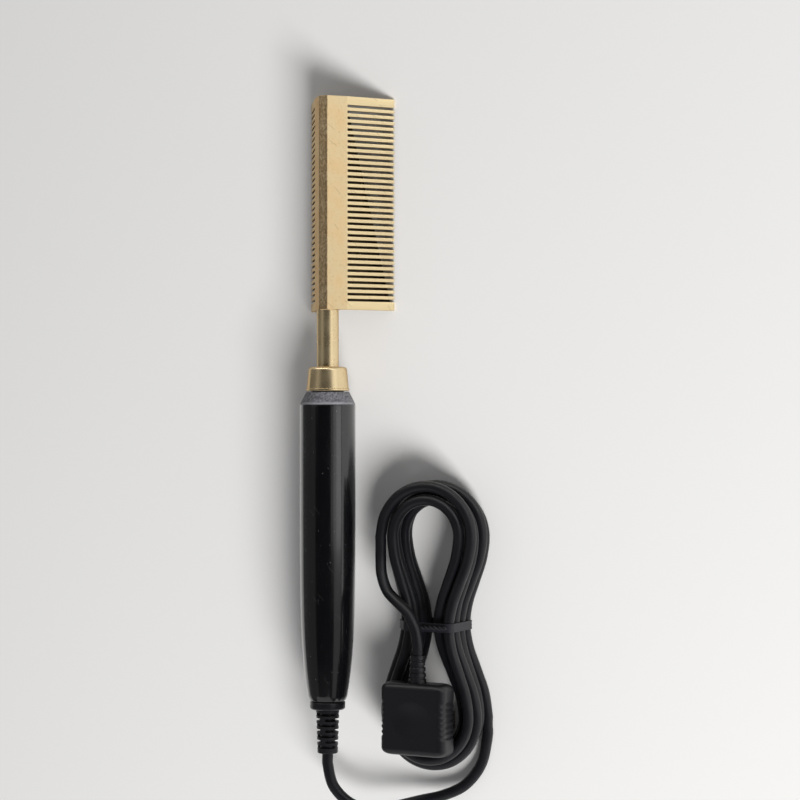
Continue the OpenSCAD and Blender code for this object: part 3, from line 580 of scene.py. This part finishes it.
def headFinish():
    # sanded cast brass, rough along the ridge; painted shade inside and on the ridge, painted
    # highlight on teeth
    material, tree, surface, place, colour, grit = satinBrass("castBrassHead", "#eccd9b", 0.40)
    xyz = addNode(tree, "SeparateXYZ", {"Vector": place}).outputs
    up = combine(tree, "SUBTRACT", xyz[2], comb["axisZ"] * mm)
    sideways = combine(tree, "ABSOLUTE", xyz[0], 0.0)
    band, tooth = math.radians(head["bandAngle"]), math.radians(head["toothAngle"])
    bendX = head["ridgeHalf"] + head["bend"] * math.sin(band)
    bendUp = head["ridgeHeight"] - head["bend"] * math.cos(band)

    def above(lean):
        # height over the plane through the bend that leans out by this angle
        reach = combine(tree, "ADD", combine(tree, "MULTIPLY", sideways, math.cos(lean)),
                        combine(tree, "MULTIPLY", up, math.sin(lean)))
        face = (bendX * math.cos(lean) + bendUp * math.sin(lean)) * mm
        return combine(tree, "SUBTRACT", reach, face)

    # painted shade: the plates' inner faces, below the ridge and between the end slots
    inside = spread(tree, combine(tree, "MAXIMUM", above(band), above(tooth)),
                    -head["skin"] * mm, -head["shadeFrom"] * mm)
    below = spread(tree, up, (head["ridgeHeight"] - head["shadeTop"]) * mm,
                   (head["ridgeHeight"] - head["shadeFull"]) * mm)
    middle = comb["frontY"] - comb["head"] / 2
    fromMiddle = combine(tree, "ABSOLUTE", combine(tree, "SUBTRACT", xyz[1], middle * mm), 0.0)
    edge = comb["head"] / 2 - head["firstSlot"]
    between = spread(tree, fromMiddle, (edge + head["slotBlend"]) * mm, edge * mm)
    insideShade = combine(tree, "MULTIPLY", combine(tree, "MULTIPLY", inside, below), between)
    # painted highlight: the teeth beyond the bend are painted paler, for the light they catch
    toothLight = spread(tree, up, (bendUp + head["toothLightBlend"]) * mm,
                   (bendUp - head["toothLightBlend"]) * mm)
    withToothLight = blendColours(tree, combine(tree, "MULTIPLY", toothLight, 0.8), colour, linear("#ffeaba"))

    # the ridge has a coarser grain, and painted shade: browner in the grain's hollows, darkening
    # the ridge
    ridge = spread(tree, up, (head["ridgeHeight"] - head["ridgeLow"]) * mm,
                   (head["ridgeHeight"] - head["ridgeFull"]) * mm)
    ridgeGrain = noise(tree, place, 0.8, 3, 0.7, (1, 0.6, 1))
    ridgeShade = combine(tree, "MULTIPLY", spread(tree, ridgeGrain, 0.66, 0.40, 0.0, 0.7), ridge)
    ridgeShaded = blendColours(tree, ridgeShade, withToothLight, linear("#9a7a58"))
    height = combine(tree, "ADD", grit, combine(tree, "MULTIPLY", ridgeGrain, ridge))
    bump(tree, surface, height, 0.03, 0.7)

    # a few hairline scratches, slanting across each plate, and not the same on both
    sign = addNode(tree, "Math", {0: xyz[0]}, operation="SIGN").outputs[0]
    side = combine(tree, "MULTIPLY", sign, head["plateShift"] * mm)
    down = combine(tree, "SUBTRACT", combine(tree, "MULTIPLY", sideways, math.sin(tooth)),
                   combine(tree, "MULTIPLY", up, math.cos(tooth)))
    down = combine(tree, "ADD", down, side)
    lines = scratches(tree, combine(tree, "SUBTRACT", down, xyz[1]),
                      combine(tree, "ADD", down, xyz[1]), length=8, gap=3, share=0.1, width=0.16)
    worn = blendColours(tree, combine(tree, "MULTIPLY", lines, 0.75), ridgeShaded, linear("#7d6844"))
    # the painted shade: inner faces turn a darker brown, and less metallic below
    final = blendColours(tree, insideShade, worn, linear("#7a6850"))
    tree.links.new(final, surface.inputs["Base Color"])
    tree.links.new(spread(tree, insideShade, 0, 1, 0.92, 0.35), surface.inputs["Metallic"])
    return material


def tubeFinish():
    # drawn brass: smoother than the casting, with the same fine grain
    material, tree, surface, *_, grit = satinBrass("drawnBrassTube", "#efd6a8", 0.28, 0.8, 0.22)
    bump(tree, surface, grit, 0.02, 0.6)
    return material


headBrass = headFinish()
tubeBrass = tubeFinish()


neck = {"outer": 5.0, "inner": 4.0, "tail": 22, "sides": 128, "rounding": [0.1, 0.2, 0.3, 0.1]}


def makeNeck(material):
    # turned: a rectangle from the inner to the outer radius, with its corners rounded
    start, stop = comb["head"], comb["ferrule"] + neck["tail"]
    corners = [(start, neck["inner"]), (start, neck["outer"]), (stop, neck["outer"]),
               (stop, neck["inner"])]
    tube = turned("neckTube", roundCorners(corners, neck["rounding"]), material, neck["sides"])
    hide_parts("neck_tube")


cup = {"hole": 5.05, "front": 8.65, "rear": 9.55, "bead": 9.85, "bore": 7.6, "wall": 1.5,
       "sides": 180, "beadFrom": 1.25, "beadRise": 0.2, "beadBack": 0.1,
       "rounding": [0.2, 1.6, 0.12, 0.12, 0.42, 0.2, 0.2, 0.2]}


def makeFerrule(material):
    # turned: a front wall, a rounded shoulder, a straight flare, and a bead at the rear edge
    s1, s2 = comb["neck"], comb["ferrule"]
    beadStart = s2 - cup["beadFrom"]
    corners = [(s1, cup["hole"]), (s1, cup["front"]), (beadStart, cup["rear"]),
               (beadStart + cup["beadRise"], cup["bead"]), (s2 - cup["beadBack"], cup["bead"]),
               (s2, cup["bore"]), (s1 + cup["wall"], cup["bore"]), (s1 + cup["wall"], cup["hole"])]
    outline = roundCorners(corners, cup["rounding"], 8)
    ring = turned("ferrule", outline, material, cup["sides"])
    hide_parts("ferrule")


makeNeck(tubeBrass)
makeFerrule(tubeBrass)


def softenEdges(node, width):
    # merges the node's loose triangles, clears flat joins and rounds its edges by width mm
    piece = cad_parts[node]
    weld = piece.modifiers.new("weld", "WELD")
    weld.merge_threshold = 1e-6
    flat = piece.modifiers.new("flat", "DECIMATE")
    flat.decimate_type = "DISSOLVE"
    flat.angle_limit = math.radians(0.5)
    edges = piece.modifiers.new("edges", "BEVEL")
    edges.width = width * mm
    edges.segments = 2
    edges.limit_method = "ANGLE"
    edges.angle_limit = math.radians(35)
    edges.harden_normals = True


def paintNode(node, material):
    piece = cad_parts[node]
    piece.data.materials.clear()
    piece.data.materials.append(material)


paintNode("comb_head", headBrass)
softenEdges("comb_head", 0.12)
print("head finished")


boot = {"radius": 5.3, "endRadius": 4.6, "core": 3.4, "first": 2.2, "pitch": 2.45, "slots": 7,
        "slotWidth": 1.1, "wallFrom": 1.25, "wallSpan": 0.45, "bridge": 3.2, "bridgeBlend": 0.7,
        "cavity": 2.85, "cavityDepth": 6.0, "rim": 0.5, "seat": 0.05, "middle": 0.02,
        "rings": 260, "sides": 128}


def makeStrainRelief(material):
    # radius over (angle, station): a taper, less the slots, which stop at two bridges each
    start, stop = comb["boot"] + boot["seat"], comb["exit"]
    station = np.linspace(start, stop, boot["rings"])
    angle = np.linspace(0, 2 * math.pi, boot["sides"], endpoint=False)
    along = (station - start) / (stop - start)
    outer = boot["radius"] + (boot["endRadius"] - boot["radius"]) * along
    fromEnd = np.clip(np.minimum(station - start, stop - station), 0, boot["rim"])
    outer = outer - boot["rim"] + np.sqrt(np.clip(boot["rim"] ** 2 - (boot["rim"] - fromEnd) ** 2,
                                                  0, None))
    radius = np.repeat(outer[:, None], len(angle), axis=1)
    for i in range(boot["slots"]):
        centre = comb["boot"] + boot["first"] + i * boot["pitch"]
        across = np.abs(station - centre) / (boot["slotWidth"] / 2)
        deep = np.clip((boot["wallFrom"] - across) / boot["wallSpan"], 0, 1)
        deep = deep * deep * (3 - 2 * deep)
        offset = np.abs(np.cos(angle) if i % 2 == 0 else np.sin(angle)) * boot["radius"]
        opened = np.clip((offset - boot["bridge"] / 2) / boot["bridgeBlend"] + 0.5, 0, 1)
        cut = deep[:, None] * (opened * opened * (3 - 2 * opened))[None, :]
        radius = radius - (outer[:, None] - boot["core"]) * cut
    body = aroundAxis(station[:, None], radius, angle[None, :])
    stem = boot["cavity"]
    bottom = start + boot["cavityDepth"]
    inside = [(stop, boot["middle"]), (bottom, boot["middle"]), (bottom, stem), (start, stem)]
    rings = [aroundAxis(np.float64(s), np.float64(r), angle)[None] for s, r in inside]
    grid = np.concatenate([body, *rings])
    relief = meshPiece("strainRelief", grid, gridFaces(len(grid), len(angle), True), material,
                       "swivel", 50)
    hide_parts("strain_relief")


def bootRubber():
    # soft PVC, moulded: matte black with a fine bloom
    material, tree, surface, place = startMaterial("softBoot", "#131316", 0.45)
    bloom = noise(tree, place, 2.5, 3)
    tree.links.new(spread(tree, bloom, 0.3, 0.7, 0.4, 0.55), surface.inputs["Roughness"])
    bump(tree, surface, noise(tree, place, 0.3, 2), 0.02, 0.5)
    return material


def swivelNylon():
    # turned nylon, black: satin, with faint rings from the lathe
    material, tree, surface, place = startMaterial("blackNylon", "#121215", 0.35)
    rings = noise(tree, place, 0.3, 2, 0.5, (0.05, 1, 0.05))
    bump(tree, surface, rings, 0.02, 0.5)
    return material


makeStrainRelief(bootRubber())
blackNylon = swivelNylon()
paintNode("swivel_stem", blackNylon)
softenEdges("swivel_stem", 0.15)
print("swivel made")


def plainFinish(name, baseColour, roughness, grain, depth, metallic=0.0, fleck="#808080"):
    # a small piece's own finish: base colour, flecks of another, and its grain in mm
    material, tree, surface, place = startMaterial(name, baseColour, roughness, Metallic=metallic)
    grit = noise(tree, place, grain, 3, 0.6)
    share = spread(tree, grit, 0.45, 0.75, 0, 0.4)
    colour = blendColours(tree, share, linear(baseColour), linear(fleck))
    tree.links.new(colour, surface.inputs["Base Color"])
    bump(tree, surface, grit, depth, 0.5)
    return material


# each finish: base colour, roughness, grain and its depth in mm, metallic, colour of the flecks;
# and the nodes that have it
finishes = {
    "steatite": (("#e9e2d2", 0.6, 0.4, 0.03, 0.0, "#d8cdb6"),
                 ["insulating_bush", "heater_core", "heater_seal"]),
    "drawnSteel": (("#b4b4b2", 0.32, 0.2, 0.01, 1.0, "#8d8d8b"),
                   ["heater_sheath", "thermal_fuse"]),
    "springSteel": (("#8c8c8a", 0.35, 0.2, 0.01, 1.0, "#5f5f60"), ["neck_clip", "swivel_clip"]),
    "oxidisedNichrome": (("#6e6a66", 0.45, 0.3, 0.08, 1.0, "#4a4744"), ["heating_wire"]),
    "micaPaper": (("#bda070", 0.5, 1.0, 0.03, 0.0, "#e0cfa0"), ["mica_wrap"]),
    "glassBraid": (("#d9d4c4", 0.8, 0.4, 0.1, 0.0, "#b8b2a0"), ["lead_sleeve"]),
    "whiteSilicone": (("#ecebe6", 0.5, 0.5, 0.02, 0.0, "#d5d3cc"), ["lead_wires"]),
    "blackSilicone": (("#242426", 0.5, 0.5, 0.02, 0.0, "#3a3a3c"), ["tail_wires"]),
    "phosphorBronze": (("#c99a52", 0.28, 0.3, 0.01, 1.0, "#96703a"),
                       ["crimp_joints", "contact_leaves", "contact_rings"]),
    "glassFilledNylon": (("#cfc6aa", 0.55, 0.5, 0.03, 0.0, "#b5ab8c"),
                         ["contact_block", "end_bush"]),
    "bareCopper": (("#c77a4a", 0.3, 0.3, 0.01, 1.0, "#8f5230"), ["cord_cores"]),
    "nickelPlate": (("#c9c5ba", 0.22, 0.3, 0.008, 1.0, "#a39f94"), ["plug_blades"])}
for finishName, (values, nodes) in finishes.items():
    finish = plainFinish(finishName, *values)
    for node in nodes:
        paintNode(node, finish)
softenEdges("plug_blades", 0.2)
print("inside finished")


studio = {"floor": "#e9e8e6", "floorRoughness": 0.7, "reach": 12.0, "world": 0.30,
          "worldColour": "#f2f2f4", "axis": 24.5}

# azimuth and lowest and highest elevation in degrees, from and to across in mm, distance in mm,
# radiance, and whether it is for gloss or for matt surfaces
softboxes = {"keyLow": (0, 3, 25, -105, 13, 650, 1.5, True),
             "keyMiddle": (0, 25, 37, -105, 13, 650, 0.93, True),
             "keyHigh": (0, 37, 48, -105, 30, 650, 0.45, True),
             "keyRear": (0, 3, 34, -620, -105, 650, 0.3, True),
             "brassLow": (0, 3, 25, 13, 620, 650, 1.0, True),
             "brassMiddle": (0, 25, 37, 13, 620, 650, 0.68, True),
             "fill": (180, 4, 68, -600, 600, 650, 0.12, True),
             "brassFill": (180, 50, 80, -600, -13, 650, 0.15, True),
             "front": (90, 22, 42, -900, 650, 650, 2.6, True),
             "rear": (270, 8, 50, -400, 400, 650, 0.5, True),
             "sun": (-38, 26, 50, -380, 380, 2400, 28, False)}


def makeFloor():
    # one flat square at height 0, reaching this far in metres each way
    mesh = bpy.data.meshes.new("floor")
    reach = studio["reach"]
    mesh.from_pydata([(-reach, -reach, 0), (reach, -reach, 0), (reach, reach, 0),
                      (-reach, reach, 0)], [], [(0, 1, 2, 3)])
    floor = bpy.data.objects.new("floor", mesh)
    bpy.context.scene.collection.objects.link(floor)
    mesh.materials.append(startMaterial("floor", studio["floor"], studio["floorRoughness"])[0])


def makeLight(name, azimuth, low, high, start, stop, distance, radiance, forGloss):
    # a softbox facing the comb's axis; its power is radiance * pi * area
    turn, up = math.radians(azimuth), math.radians((low + high) / 2)
    across = np.array([-math.sin(turn), math.cos(turn), 0])
    back = np.array([math.cos(turn) * math.cos(up), math.sin(turn) * math.cos(up), math.sin(up)])
    data = bpy.data.lights.new(name, "AREA")
    data.shape = "RECTANGLE"
    data.size = (stop - start) * mm
    data.size_y = 2 * distance * math.tan(math.radians(high - low) / 2) * mm
    data.energy = radiance * math.pi * data.size * data.size_y
    light = bpy.data.objects.new(name, data)
    light.visible_camera = False
    light.visible_glossy = forGloss
    light.visible_diffuse = not forGloss
    bpy.context.scene.collection.objects.link(light)
    matrix = np.eye(4)
    matrix[:3, 0], matrix[:3, 1], matrix[:3, 2] = across, np.cross(back, across), back
    matrix[:3, 3] = (back * distance + across * (start + stop) / 2 + (0, 0, studio["axis"])) * mm
    light.matrix_world = Matrix(matrix.tolist())


makeFloor()
for lamp, values in softboxes.items():
    makeLight(lamp, *values)
world = bpy.data.worlds.new("studio")
world.use_nodes = True
background = world.node_tree.nodes["Background"]
background.inputs[0].default_value = linear(studio["worldColour"])
background.inputs[1].default_value = studio["world"]
world.cycles_visibility.glossy = False
bpy.context.scene.world = world
bpy.context.scene.view_settings.view_transform = "Standard"
print("studio lit")
